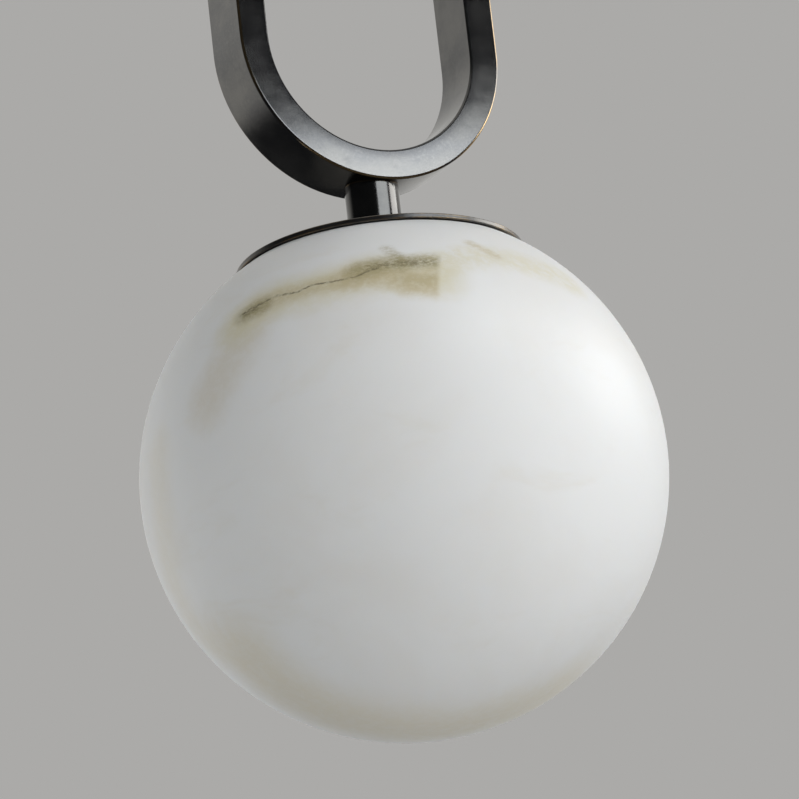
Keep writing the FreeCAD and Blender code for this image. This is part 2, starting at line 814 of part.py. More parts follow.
def link_nuts():
    """Two saddle nuts inside the bar. Their outer faces follow the bar's round inside."""
    body = new_body("link_nuts", LINK_CENTRE)
    sketch = sketch_in(body, "XZ_Plane")
    hollow_radius = f"({LINK_RADIUS} - bar_wall)"
    seat = f"-{LINK_STRAIGHT} - sqrt({hollow_radius} ^ 2 - (saddle_width / 2) ^ 2)"
    back = f"-{LINK_STRAIGHT} - {hollow_radius} + saddle_thickness"
    draw_outline(sketch, [
        ("-saddle_width / 2", seat),
        ("saddle_width / 2", seat, hollow_radius, "left"),
        ("saddle_width / 2", back),
        ("-saddle_width / 2", back),
    ])
    plate = pad(body, sketch, "saddle_depth", both_sides=True)
    bore = hole(body, "XY_Plane", "0", "0", "thread_radius",
                depth="bar_wall + saddle_thickness + cut_past", lift="-link_height / 2",
                reverse=True)
    mirrored(body, [plate, bore], "XY_Plane")


def nipple(label, drop, top, bottom):
    """A hollow threaded tube."""
    turned_ring(label, drop, "nipple_bore", "thread_radius - thread_play", top, bottom)


# Cap plate and what hangs from it


def cap_plate():
    """A dished round plate: a flat rim with a gasket recess, and a raised flat middle."""
    body = new_body("cap_plate", PLATE)
    top = "rim_thickness + step_height"
    inside = "step_radius - plate_gauge"
    recess = "gasket_thickness + thread_play - seat_gap"
    turned(body, [
        ("thread_radius + free_play", top),
        ("thread_radius + free_play", f"{top} - plate_gauge"),
        (f"{inside} - step_round", f"{top} - plate_gauge"),
        (inside, f"{top} - plate_gauge - step_round", "step_round", "right"),
        (inside, "0"),
        ("gasket_inner_radius - gasket_play", "0"),
        ("gasket_inner_radius - gasket_play", recess),
        ("gasket_outer_radius + gasket_play", recess),
        ("gasket_outer_radius + gasket_play", "0"),
        ("plate_radius - plate_edge_round", "0"),
        ("plate_radius", "plate_edge_round", "plate_edge_round", "left"),
        ("plate_radius", "rim_thickness - plate_edge_round"),
        ("plate_radius - plate_edge_round", "rim_thickness", "plate_edge_round", "left"),
        ("step_radius + step_round", "rim_thickness"),
        ("step_radius", "rim_thickness + step_round", "step_round", "right"),
        ("step_radius", f"{top} - step_round"),
        ("step_radius - step_round", top, "step_round", "left"),
    ])


def gasket():
    """A flat felt ring in the plate's recess."""
    turned_ring("gasket", PLATE, "gasket_inner_radius", "gasket_outer_radius",
                "gasket_thickness + thread_play - seat_gap", "thread_play - seat_gap")


def hanging_studs():
    """Three headed studs welded under the plate."""
    body = new_body("hanging_studs", PLATE)
    under = "-seat_gap - ring_depth - running_play"
    sketch = sketch_in(body, "XY_Plane", "rim_thickness + step_height - plate_gauge")
    draw_circle(sketch, "stud_circle_radius", "0", "stud_radius")
    length = f"rim_thickness + step_height - plate_gauge - ({under})"
    shank = pad(body, sketch, length, reverse=True)
    disc = sketch_in(body, "XY_Plane", under)
    draw_circle(disc, "stud_circle_radius", "0", "stud_head_radius")
    head = pad(body, disc, "stud_head_height", reverse=True)
    ring_of(body, [shank, head], "stud_count")


def lampholder():
    """A screwed two-part holder with its ceramic insert, thread shell and centre contact."""
    cap = new_body("lampholder_cap", PLATE)
    neck_foot = "-holder_top - holder_neck_length"
    inner_round = "holder_shoulder_round - holder_wall"
    turned(cap, [
        ("thread_radius", "-holder_top"),
        ("thread_radius", neck_foot),
        ("holder_neck_radius", f"{neck_foot} - holder_wall"),
        ("holder_radius - holder_wall", "-holder_shoulder - holder_wall", inner_round, "right"),
        ("holder_radius - holder_wall", "-holder_split"),
        ("holder_radius", "-holder_split"),
        ("holder_radius", "-holder_shoulder"),
        ("holder_neck_radius", neck_foot, "holder_shoulder_round", "left"),
        ("holder_neck_radius", "-holder_top"),
    ])
    body = new_body("lampholder_body", PLATE)
    room = "holder_radius - holder_wall"
    bore = "shell_radius + free_play"
    floor = "-holder_split - insert_thickness"
    turned(body, [
        (room, "-holder_split"),
        (room, floor),
        (bore, floor),
        (bore, "-holder_bottom"),
        ("holder_mouth_radius", "-holder_bottom"),
        ("holder_mouth_radius", "-holder_bottom + holder_skirt"),
        ("holder_radius", "-holder_bottom + holder_skirt + holder_taper"),
        ("holder_radius", "-holder_split"),
    ])
    turned_ring("lampholder_insert", PLATE, "insert_hole_radius", f"{room} - free_play",
                "-holder_split", floor)
    turned_ring("lampholder_shell", PLATE, "shell_radius - shell_gauge", "shell_radius",
                f"{floor} - free_play", "-holder_bottom + shell_set_back")
    contact = new_body("lampholder_contact", PLATE)
    turned(contact, [
        ("0", f"{floor} + rivet_length"),
        ("0", f"{floor} - contact_thickness"),
        ("contact_radius", f"{floor} - contact_thickness"),
        ("contact_radius", floor),
        ("insert_hole_radius - free_play", floor),
        ("insert_hole_radius - free_play", f"{floor} + rivet_length"),
    ])


def bulb():
    """A round bulb with a metal screw cap, a plastic cone, a light board and a milky dome."""
    contact = new_body("bulb_contact", PLATE)
    turned(contact, [
        ("0", "-bulb_tip"),
        ("0", "-bulb_cap_top"),
        ("bulb_cap_radius - bulb_cap_round", "-bulb_cap_top"),
        ("bulb_contact_radius", "-bulb_tip - bulb_contact_round"),
        ("bulb_contact_radius - bulb_contact_round", "-bulb_tip", "bulb_contact_round", "left"),
    ])
    cap = new_body("bulb_cap", PLATE)
    turned(cap, [
        ("0", "-bulb_cap_top"),
        ("0", "-bulb_cap_bottom"),
        ("bulb_cap_radius", "-bulb_cap_bottom"),
        ("bulb_cap_radius", "-bulb_cap_top - bulb_cap_round"),
        ("bulb_cap_radius - bulb_cap_round", "-bulb_cap_top", "bulb_cap_round", "left"),
    ])
    cone = new_body("bulb_cone", PLATE)
    drop = "bulb_centre - bulb_board_drop"
    wide = f"sqrt(bulb_radius ^ 2 - ({drop}) ^ 2)"
    collar = "bulb_cap_radius + bulb_collar_lip"
    turned(cone, [
        ("0", "-bulb_cap_bottom"),
        ("0", "-bulb_board_drop"),
        (wide, "-bulb_board_drop"),
        (collar, "-bulb_cap_bottom - bulb_collar_height", "bulb_flare_radius", "right"),
        (collar, "-bulb_cap_bottom"),
    ])
    inner_wide = f"sqrt((bulb_radius - bulb_wall) ^ 2 - ({drop}) ^ 2)"
    turned_ring("bulb_board", PLATE, "bulb_board_hole", f"{inner_wide} - bulb_board_play",
                "-bulb_board_drop", "-bulb_board_drop - bulb_board_thickness")
    dome = new_body("bulb_dome", PLATE)
    turned(dome, [
        (inner_wide, "-bulb_board_drop"),
        ("0", "-bulb_centre - bulb_radius + bulb_wall", "bulb_radius - bulb_wall", "right"),
        ("0", "-bulb_centre - bulb_radius"),
        (wide, "-bulb_board_drop", "bulb_radius", "left"),
    ])


# Globe


def globe_halves():
    """A hollow stone globe, hollowed out as two halves that are glued at its widest line. The
    upper one is cut flat on top and has a bored and rebated mouth."""
    cavity = "globe_radius - globe_wall"
    lower = new_body("globe_lower_half", GLOBE_CENTRE)
    turned(lower, [
        ("0", "-globe_radius"),
        ("globe_radius", "0", "globe_radius", "left"),
        (cavity, "0"),
        ("0", f"-({cavity})", cavity, "right"),
    ])
    upper = new_body("globe_upper_half", GLOBE_CENTRE)
    bore_foot = f"sqrt(({cavity}) ^ 2 - mouth_radius ^ 2)"
    turned(upper, [
        ("globe_radius", "0"),
        ("globe_flat_radius", FLAT_HEIGHT, "globe_radius", "left"),
        ("rebate_radius", FLAT_HEIGHT),
        ("rebate_radius", f"{FLAT_HEIGHT} - ring_gauge"),
        ("mouth_radius", f"{FLAT_HEIGHT} - ring_gauge"),
        ("mouth_radius", bore_foot),
        (cavity, "0", cavity, "right"),
    ])


def globe_ring():
    """The pressed ring in the globe's mouth. The studs hang it by its keyhole slots."""
    body = new_body("globe_ring", GLOBE_FLAT)
    outside = "mouth_radius - ring_glue_gap"
    inside = f"{outside} - ring_gauge"
    bend = "ring_bend_radius"
    turned(body, [
        ("rebate_radius - ring_glue_gap", "0"),
        (inside, "0"),
        (inside, f"-ring_depth + {bend}"),
        (f"{outside} - {bend}", "-ring_depth + ring_gauge", f"{bend} - ring_gauge", "right"),
        ("ring_inner_radius", "-ring_depth + ring_gauge"),
        ("ring_inner_radius", "-ring_depth"),
        (f"{outside} - {bend}", "-ring_depth"),
        (outside, f"-ring_depth + {bend}", bend, "left"),
        (outside, "-ring_gauge"),
        ("rebate_radius - ring_glue_gap", "-ring_gauge"),
    ])
    half_slot = "(stud_radius + slot_play)"
    outer, inner = f"stud_circle_radius + {half_slot}", f"stud_circle_radius - {half_slot}"
    below, through = "-ring_depth - cut_past", "ring_gauge + 2 * cut_past"
    slot = sketch_in(body, "XY_Plane", below)
    tip = round_about("stud_circle_radius", "0")
    draw_outline(slot, [
        round_about(outer, "-twist_angle"),
        (*round_about(outer, "0"), outer, "left"),
        (tip[0], half_slot, half_slot, "left"),
        (*round_about(inner, "0"), half_slot, "left"),
        (*round_about(inner, "-twist_angle"), inner, "right"),
    ])
    narrow = pocket(body, slot, through, reverse=True)
    entry = hole(body, "XY_Plane", *round_about("stud_circle_radius", "-twist_angle"),
                 "stud_head_radius + entry_play", depth=through, lift=below, reverse=True)
    ring_of(body, [narrow, entry], "stud_count")


ceiling_bracket()
terminal_block()
terminal_screws()
earth_terminal()
canopy()
canopy_screws()
turned_ring("canopy_washer", "canopy_height", "thread_radius + free_play", "stiffener_radius",
            "canopy_gauge + stiffener_thickness", "canopy_gauge")
hexagon_nut("canopy_nut", "canopy_height", "canopy_gauge + stiffener_thickness + nut_height")
swivel_stem()
turned_ring("swivel_washer", PIN, "thread_radius + free_play", "stem_flange_radius - free_play",
            "yoke_top - yoke_lip - running_play",
            "yoke_top - yoke_lip - running_play - nylon_thickness")
stop_pin()
swivel_yoke()
swivel_tongue()
swivel_pins()
lock_screw("tongue_lock_screw", f"{ROD_TOP} - lock_screw_drop", "tongue_radius")
down_rod()
neck("upper_neck", ROD_END, "-", locked=True)
lock_screw("neck_lock_screw", f"{ROD_END} + lock_screw_drop", "neck_radius")
oval_link()
link_nuts()
neck("lower_neck", PLATE_TOP, "+")
nipple("upper_nipple", LINK_TOP, "neck_length - spigot_length - spigot_end_gap",
       "-bar_wall - saddle_thickness - nipple_past_nut")
nipple("lower_nipple", PLATE_TOP, "neck_length + bar_wall + saddle_thickness + nipple_past_nut",
       "-step_height - rim_thickness - holder_top - holder_neck_length")
cap_plate()
gasket()
turned_ring("plate_washer", PLATE, "thread_radius + free_play", "washer_radius",
            "rim_thickness + step_height - plate_gauge",
            "rim_thickness + step_height - plate_gauge - washer_thickness")
hexagon_nut("plate_nut", PLATE, "rim_thickness + step_height - plate_gauge - washer_thickness")
hanging_studs()
lampholder()
bulb()
globe_halves()
globe_ring()

doc.recompute()
failed = [item.Label for item in doc.Objects if {"Invalid", "Error"} & set(item.State)]
bodies = doc.findObjects("PartDesign::Body")
failed += [body.Label for body in bodies if body.Shape.isNull() or not body.Shape.isValid()]
if failed:
    raise RuntimeError("failed: " + ", ".join(failed))

os.makedirs("parts", exist_ok=True)
for body in bodies:
    body.Shape.exportStep(f"parts/{body.Label}.step")
print(len(bodies), "sub-parts")
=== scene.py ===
import json
import math

import bmesh
import bpy
from mathutils import Matrix, Vector


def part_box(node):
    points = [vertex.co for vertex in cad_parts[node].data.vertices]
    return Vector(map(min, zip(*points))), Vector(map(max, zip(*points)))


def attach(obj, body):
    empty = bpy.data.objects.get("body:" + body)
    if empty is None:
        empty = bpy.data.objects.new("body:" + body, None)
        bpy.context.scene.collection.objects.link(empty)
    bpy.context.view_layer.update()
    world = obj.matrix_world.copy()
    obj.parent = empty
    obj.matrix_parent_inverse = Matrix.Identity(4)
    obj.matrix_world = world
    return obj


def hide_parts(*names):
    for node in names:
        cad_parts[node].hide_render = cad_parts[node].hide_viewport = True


# An alabaster globe pendant on a dark bronze oval link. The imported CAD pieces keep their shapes
# and get their materials here. The globe's two stone halves are shown as one unbroken stone.
# Lengths are metres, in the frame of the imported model.

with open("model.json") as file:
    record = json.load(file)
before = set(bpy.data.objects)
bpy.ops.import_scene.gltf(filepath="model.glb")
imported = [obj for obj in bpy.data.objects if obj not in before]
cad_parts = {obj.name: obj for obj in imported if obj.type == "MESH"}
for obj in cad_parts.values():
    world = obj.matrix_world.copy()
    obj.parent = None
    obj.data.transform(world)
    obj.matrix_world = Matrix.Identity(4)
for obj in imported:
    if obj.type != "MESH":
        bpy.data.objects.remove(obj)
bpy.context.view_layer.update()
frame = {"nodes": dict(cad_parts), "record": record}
nodes = frame["nodes"]

MM = 0.001

# The globe, read from the frame
lower_low, lower_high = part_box("globe_lower_half")
_, upper_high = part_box("globe_upper_half")
GLOBE_RADIUS = (lower_high.x - lower_low.x) / 2
GLOBE_CENTRE = Vector((0, 0, lower_high.z))
GLOBE_FLAT = upper_high.z

# The photograph's view: where the camera stands round the globe, and how it is held. Angles are
# degrees, the focal length and the picture are in pixels, and the sensor is in millimetres.
VIEW_TURN = -28.8
VIEW_RISE = -17.1
VIEW_LEAN = 6.5
VIEW_DISTANCE = 2.386
FOCAL_PIXELS = 6319
PICTURE_SIZE = 799
GLOBE_PIXEL = (404.2, 478.2)
SENSOR = 36.0
CLIP_NEAR = 0.1
CLIP_FAR = 100


def direction(turn, rise):
    """The unit vector towards a compass turn from the front and a rise, both in degrees."""
    turn, rise = math.radians(turn), math.radians(rise)
    return Vector((math.sin(turn) * math.cos(rise), -math.cos(turn) * math.cos(rise),
                   math.sin(rise)))


def camera_axes():
    """The camera's right, up and back axes as the columns of a matrix."""
    back = direction(VIEW_TURN, VIEW_RISE)
    right = Vector((math.cos(math.radians(VIEW_TURN)), math.sin(math.radians(VIEW_TURN)), 0))
    up = back.cross(right)
    lean = math.radians(VIEW_LEAN)
    leaned_right = math.cos(lean) * right - math.sin(lean) * up
    leaned_up = math.sin(lean) * right + math.cos(lean) * up
    axes = Matrix((leaned_right, leaned_up, back)).transposed()
    middle = PICTURE_SIZE / 2
    aim = Vector((GLOBE_PIXEL[0] - middle, middle - GLOBE_PIXEL[1], -FOCAL_PIXELS))
    return axes @ aim.rotation_difference(Vector((0, 0, -1))).to_matrix()


def add_camera():
    camera = bpy.data.objects.new("camera", bpy.data.cameras.new("camera"))
    bpy.context.scene.collection.objects.link(camera)
    camera.data.sensor_width = SENSOR
    camera.data.lens = FOCAL_PIXELS * SENSOR / PICTURE_SIZE
    camera.data.clip_start = CLIP_NEAR
    camera.data.clip_end = CLIP_FAR
    place = GLOBE_CENTRE + VIEW_DISTANCE * direction(VIEW_TURN, VIEW_RISE)
    camera.matrix_world = Matrix.Translation(place) @ camera_axes().to_4x4()
    bpy.context.scene.camera = camera
    return camera


camera = add_camera()


def on_globe(x, y):
    """The point of a unit globe that the photograph shows at a pixel, in the frame's axes."""
    middle = PICTURE_SIZE / 2
    axes = camera.matrix_world.to_3x3()
    ray = (axes @ Vector((x - middle, middle - y, -FOCAL_PIXELS))).normalized()
    start = camera.matrix_world.translation - GLOBE_CENTRE
    along = start.dot(ray)
    inside = along ** 2 - start.length_squared + GLOBE_RADIUS ** 2
    return (start + ray * (-along - math.sqrt(max(inside, 0)))) / GLOBE_RADIUS


# Studio. The colours are linear light: what the camera sees, the bright and the dark side that
# shiny pieces mirror, and the soft light from all round that falls on dull ones.

BACKDROP = (0.407, 0.402, 0.392)
BRIGHT_SIDE = (0.66, 0.655, 0.635)
DARK_SIDE = (0.030, 0.031, 0.033)
SOFT_LEVEL = (0.24, 0.243, 0.24)
FLOOR_DROP = 4.2
FLOOR_RADIUS = 40
FLOOR_SEGMENTS = 96
FLOOR_TONE = (0.996, 1.004)

# The sockets of a colour Mix node, which share their names with its other kinds
MIX_FACTOR, MIX_FIRST, MIX_SECOND, MIX_RESULT = 0, 6, 7, 2


class Nodes:
    """Builds a node tree by name."""

    def __init__(self, tree):
        self.tree = tree
        tree.nodes.clear()

    def add(self, kind, inputs=(), **settings):
        node = self.tree.nodes.new(kind)
        for key, value in settings.items():
            setattr(node, key, value)
        for key, value in dict(inputs).items():
            self.feed(node.inputs[key], value)
        return node

    def feed(self, socket, value):
        if isinstance(value, bpy.types.NodeSocket):
            self.tree.links.new(value, socket)
        elif isinstance(value, (tuple, Vector)) and socket.type == "RGBA" and len(value) == 3:
            socket.default_value = (*value, 1)
        else:
            socket.default_value = value

    def maths(self, operation, first, second=0.0, third=0.0, clamp=False):
        node = self.add("ShaderNodeMath", operation=operation, use_clamp=clamp)
        for socket, value in zip(node.inputs, (first, second, third)):
            self.feed(socket, value)
        return node.outputs[0]

    def vector(self, operation, first, second=(0.0, 0.0, 0.0), scale=None, out=0):
        node = self.add("ShaderNodeVectorMath", operation=operation)
        self.feed(node.inputs[0], first)
        self.feed(node.inputs[1], second)
        if scale is not None:
            self.feed(node.inputs["Scale"], scale)
        return node.outputs[out]

    def mix(self, factor, first, second, blend="MIX"):
        node = self.add("ShaderNodeMix", data_type="RGBA", blend_type=blend)
        self.feed(node.inputs[MIX_FACTOR], factor)
        self.feed(node.inputs[MIX_FIRST], first)
        self.feed(node.inputs[MIX_SECOND], second)
        return node.outputs[MIX_RESULT]

    def fade(self, value, start, end, low=0.0, high=1.0):
        """Turns start to end into low to high, smoothly and held at both ends."""
        inputs = {"Value": value, "From Min": start, "From Max": end, "To Min": low, "To Max": high}
        node = self.add("ShaderNodeMapRange", inputs, interpolation_type="SMOOTHSTEP")
        return node.outputs[0]

    def noise(self, place, scale, detail=2.0, rough=0.5, distortion=0.0, colour=False):
        inputs = {"Vector": place, "Scale": scale, "Detail": detail, "Roughness": rough,
                  "Distortion": distortion}
        node = self.add("ShaderNodeTexNoise", inputs)
        return node.outputs[1 if colour else 0]

    def place(self):
        """The surface point in the frame's axes at rest, which moves with its piece."""
        return self.add("ShaderNodeTexCoord").outputs["Object"]

    def stretch(self, place, scale):
        return self.vector("MULTIPLY", place, scale)

    def bump(self, height, strength, distance):
        inputs = {"Height": height, "Strength": strength, "Distance": distance}
        return self.add("ShaderNodeBump", inputs).outputs[0]


def surroundings(n, towards):
    """What the studio looks like in a direction: plain to the camera, and to shiny pieces grey
    behind and above the lamp and dark elsewhere."""
    behind = n.vector("DOT_PRODUCT", towards, tuple(-direction(VIEW_TURN, 0)), out=1)
    high = n.add("ShaderNodeSeparateXYZ", {"Vector": towards}).outputs["Z"]
    share = n.maths("MULTIPLY", n.fade(behind, 0.05, 0.55), n.fade(high, -0.34, -0.10))
    share = n.maths("MAXIMUM", share, n.fade(high, 0.50, 0.85))
    shine = n.mix(share, DARK_SIDE, BRIGHT_SIDE)
    path = n.add("ShaderNodeLightPath").outputs
    seen = n.mix(path["Is Glossy Ray"], SOFT_LEVEL, shine)
    seen = n.mix(path["Is Transmission Ray"], seen, BACKDROP)
    return n.mix(path["Is Camera Ray"], seen, BACKDROP)


def build_world():
    world = bpy.data.worlds.new("studio")
    bpy.context.scene.world = world
    world.use_nodes = True
    n = Nodes(world.node_tree)
    seen = surroundings(n, n.add("ShaderNodeTexCoord").outputs["Generated"])
    sky = n.add("ShaderNodeBackground", {"Color": seen, "Strength": 1.0})
    n.add("ShaderNodeOutputWorld", {"Surface": sky.outputs[0]})
    world.cycles.sampling_method = "NONE"


def build_floor():
    """A wide pale floor, far enough down to leave the views from below free."""
    mesh = bpy.data.meshes.new("floor")
    shape = bmesh.new()
    bmesh.ops.create_circle(shape, cap_ends=True, segments=FLOOR_SEGMENTS, radius=FLOOR_RADIUS)
    bmesh.ops.translate(shape, verts=shape.verts, vec=(0, 0, -FLOOR_DROP))
    shape.to_mesh(mesh)
    shape.free()
    floor = bpy.data.objects.new("floor", mesh)
    bpy.context.scene.collection.objects.link(floor)
    material = bpy.data.materials.new("floor")
    material.use_nodes = True
    n = Nodes(material.node_tree)
    offset = n.vector("SUBTRACT", n.place(), tuple(GLOBE_CENTRE))
    seen = surroundings(n, n.vector("NORMALIZE", offset))
    tone = n.fade(n.noise(n.place(), 0.8, 3.0), 0.3, 0.7, *FLOOR_TONE)
    face = n.add("ShaderNodeEmission", {"Color": seen, "Strength": tone})
    n.add("ShaderNodeOutputMaterial", {"Surface": face.outputs[0]})
    mesh.materials.append(material)


COOL_WHITE = (0.90, 0.95, 1.0)


def add_panel(name, turn, rise, distance, width, height, level, centre=GLOBE_CENTRE,
              colour=(1, 1, 1), lights_stone=True, seen_in_metal=True):
    """A soft light panel that faces a centre. Turn and rise, in degrees, go from the camera's
    side to the right and up. Level is how bright the panel's face is."""
    light = bpy.data.lights.new(name, "AREA")
    light.shape = "RECTANGLE"
    light.size = width
    light.size_y = height
    light.energy = level * math.pi * width * height
    light.color = colour
    panel = bpy.data.objects.new(name, light)
    bpy.context.scene.collection.objects.link(panel)
    back = direction(VIEW_TURN + turn, rise)
    panel.location = centre + distance * back
    panel.rotation_mode = "QUATERNION"
    panel.rotation_quaternion = back.to_track_quat("Z", "Y")
    panel.visible_camera = False
    panel.visible_diffuse = lights_stone
    panel.visible_glossy = seen_in_metal


def light_studio():
    """Panels for the stone, which metal doesn't mirror, and two for the metal alone."""
    add_panel("key_softbox", 53, 31, 1.2, 0.8, 0.8, 2.12, seen_in_metal=False)
    add_panel("side_softbox", 82, 22, 1.1, 0.8, 0.8, 1.78, seen_in_metal=False)
    add_panel("low_side_fill", 95, -40, 1.0, 0.8, 0.8, 1.25, seen_in_metal=False)
    add_panel("front_fill", 0, -20, 1.2, 0.6, 0.6, 3.4, seen_in_metal=False)
    add_panel("rim_softbox", -125, 5, 1.0, 0.5, 0.9, 3.0, seen_in_metal=False)
    add_panel("back_fill", 180, 10, 1.5, 1.1, 1.1, 1.6, seen_in_metal=False)
    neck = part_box("lower_neck")
    foot = Vector((0, 0, neck[0].z))
    add_panel("neck_strip", 100, 17, 0.6, 0.36, 0.28, 4.5, foot, lights_stone=False)
    add_panel("link_card", 46, 20.3, 0.235, 0.19, 0.08, 3.5, foot, COOL_WHITE,
              lights_stone=False)


build_world()
build_floor()
light_studio()


# Materials


def new_material(name):
    material = bpy.data.materials.new(name)
    material.use_nodes = True
    return material, Nodes(material.node_tree)


def finish_material(n, **inputs):
    """Adds the surface shader. An input's name has _ for each space."""
    named = {key.replace("_", " "): value for key, value in inputs.items()}
    face = n.add("ShaderNodeBsdfPrincipled", named)
    n.add("ShaderNodeOutputMaterial", {"Surface": face.outputs[0]})


# Stains in the stone: the pixels that a stain's middle line passes in the photograph, its width
# as a share of the globe's radius, its colour, its strength, how broken up it is, and whether it
# ends at the fault, a straight seam in the stone. A stain is full from its heart, a share of its
# width, inwards. Narrow stains wander less from their line than wide ones.
OLIVE = (0.37, 0.325, 0.18)
DARK_OLIVE = (0.10, 0.085, 0.045)
SAND = (0.575, 0.495, 0.305)
CREAM = (0.735, 0.69, 0.50)
DUST = (0.68, 0.61, 0.47)
WARM = (0.80, 0.755, 0.64)
FAULT = ((441, 248), (439, 300))
NARROW_STAIN = 0.1
STAIN_HEART = 0.12
WIDE_WANDER = 0.085
NARROW_WANDER = 0.028
STAINS = [
    ("left_edge", [(158, 455), (163, 520), (176, 590), (205, 640)], 0.16, WARM, 0.45, 0.2, False),
    ("low_side", [(250, 660), (300, 700), (370, 725), (455, 728), (550, 695)], 0.32, WARM, 0.85,
     0.2, False),
    ("left_trail", [(252, 318), (244, 340), (226, 366), (208, 400)], 0.17, DUST, 0.45, 0.25, False),
    ("cream_right", [(436, 262), (470, 257), (505, 258), (540, 268), (568, 281)], 0.12, CREAM, 0.58,
     0.60, False),
    ("streak_right", [(470, 243), (484, 250), (496, 256)], 0.040, SAND, 0.60, 0.6, False),
    ("band_glow", [(240, 322), (262, 305), (311, 289), (357, 275), (400, 274), (436, 276)], 0.165,
     CREAM, 0.85, 0.25, False),
    ("band_core", [(258, 305), (298, 292), (340, 281), (372, 270)], 0.080, SAND, 0.70, 0.4, False),
    ("patch_sand", [(352, 276), (380, 273), (410, 280), (440, 283)], 0.120, SAND, 0.85, 0.35, True),
    ("patch_left", [(358, 271), (378, 266), (397, 262)], 0.080, OLIVE, 0.80, 0.5, False),
    ("patch_right", [(404, 262), (422, 261), (445, 262)], 0.075, OLIVE, 0.85, 0.5, True),
    ("patch_low", [(404, 276), (422, 280), (445, 276)], 0.060, OLIVE, 0.20, 0.6, True),
    ("patch_top", [(386, 249), (396, 256)], 0.040, OLIVE, 0.45, 0.7, False),
    ("knot", [(245, 315), (252, 311), (262, 306)], 0.070, OLIVE, 0.90, 0.4, False),
    ("knot_heart", [(246, 314), (256, 308)], 0.024, DARK_OLIVE, 0.45, 0.9, False),
    ("patch_heart", [(368, 268), (394, 264), (430, 262)], 0.030, DARK_OLIVE, 0.45, 1.0, False),
    ("crack", [(240, 317), (250, 309), (262, 303), (277, 296), (298, 293), (311, 286), (333, 282),
               (357, 276), (378, 268)], 0.009, DARK_OLIVE, 0.85, 0.9, False),
]


def line_distance(n, place, start, end):
    """How far a point is from the straight line between two points."""
    along = end - start
    offset = n.vector("SUBTRACT", place, tuple(start))
    share = n.vector("DOT_PRODUCT", offset, tuple(along / along.length_squared), out=1)
    share = n.maths("ADD", share, 0.0, clamp=True)
    foot = n.vector("SCALE", tuple(along), scale=share)
    return n.vector("LENGTH", n.vector("SUBTRACT", offset, foot), out=1)


def alabaster():
    """Honed white stone with one olive-brown band of stains, faint clouds and a soft glow."""
    material, n = new_material("alabaster")
    local = n.vector("SUBTRACT", n.place(), tuple(GLOBE_CENTRE))
    unit = n.vector("SCALE", local, scale=1 / GLOBE_RADIUS)
    wander = n.noise(unit, 6.0, 5.0, 0.62, colour=True)
    wander = n.vector("SUBTRACT", wander, (0.5, 0.5, 0.5))
    warped = n.vector("ADD", unit, n.vector("SCALE", wander, scale=WIDE_WANDER))
    tight = n.vector("ADD", unit, n.vector("SCALE", wander, scale=NARROW_WANDER))

    cloud = n.noise(unit, 1.6, 4.0, 0.55, 0.4)
    colour = n.mix(n.fade(cloud, 0.38, 0.66), (0.875, 0.882, 0.880), (0.855, 0.852, 0.838))
    veil = n.noise(n.stretch(unit, (1.0, 1.0, 2.6)), 2.2, 5.0, 0.6, 0.8)
    colour = n.mix(n.fade(veil, 0.56, 0.78, 0.0, 0.35), colour, (0.80, 0.77, 0.70))
    grain = n.noise(unit, 24.0, 6.0, 0.72)
    fine_grain = n.noise(n.stretch(unit, (1.0, 1.0, 1.8)), 55.0, 5.0, 0.75)
    speck = n.noise(unit, 70.0, 3.0, 0.7)
    seam = on_globe(*FAULT[0]).cross(on_globe(*FAULT[1])).normalized()
    beside = n.vector("DOT_PRODUCT", tight, tuple(seam), out=1)
    before_fault = n.fade(beside, 0.010, -0.018)
    for _, pixels, width, stain, strength, broken, faulted in STAINS:
        points = [on_globe(*pixel) for pixel in pixels]
        narrow = width < NARROW_STAIN
        where = tight if narrow else warped
        nearest = line_distance(n, where, points[0], points[1])
        for start, end in zip(points[1:], points[2:]):
            nearest = n.maths("MINIMUM", nearest, line_distance(n, where, start, end))
        mask = n.fade(nearest, width, width * STAIN_HEART)
        breaks = fine_grain if narrow else grain
        patch = n.fade(breaks, 0.36, 0.60, 1.0 - broken, 1.0)
        mask = n.maths("MULTIPLY", n.maths("MULTIPLY", mask, patch), strength)
        if faulted:
            mask = n.maths("MULTIPLY", mask, before_fault)
        colour = n.mix(mask, colour, stain)
    colour = n.mix(n.fade(speck, 0.60, 0.80, 0.0, 0.06), colour, (0.60, 0.57, 0.50))

    hone = n.noise(unit, 130.0, 3.0, 0.6)
    height = n.maths("MULTIPLY_ADD", grain, 0.5, n.maths("MULTIPLY", hone, 0.4))
    finish_material(
        n, Base_Color=colour, Roughness=n.fade(grain, 0.3, 0.7, 0.40, 0.50),
        Subsurface_Weight=0.18, Subsurface_Radius=(1.0, 0.85, 0.70), Subsurface_Scale=0.012,
        Specular_IOR_Level=0.22, Normal=n.bump(height, 0.08, 0.0004),
    )
    return material


# How far in from the link's outside its worn rim and the painted shade on its side towards the
# window start and end
RIM_START, RIM_END = 3 * MM, 1 * MM
SHADE_START, SHADE_END = 7 * MM, 12 * MM
RUBBED_BROWN = (0.46, 0.31, 0.14)


def edge_wear(n, radius, noise):
    """Where an outer edge lies, broken up by a noise, from 0 to 1."""
    rounded = n.add("ShaderNodeBevel", {"Radius": radius}, samples=4).outputs[0]
    straight = n.add("ShaderNodeNewGeometry").outputs["Normal"]
    turn = n.vector("DOT_PRODUCT", rounded, straight, out=1)
    return n.maths("MULTIPLY", n.fade(turn, 0.995, 0.90), n.fade(noise, 0.40, 0.62))


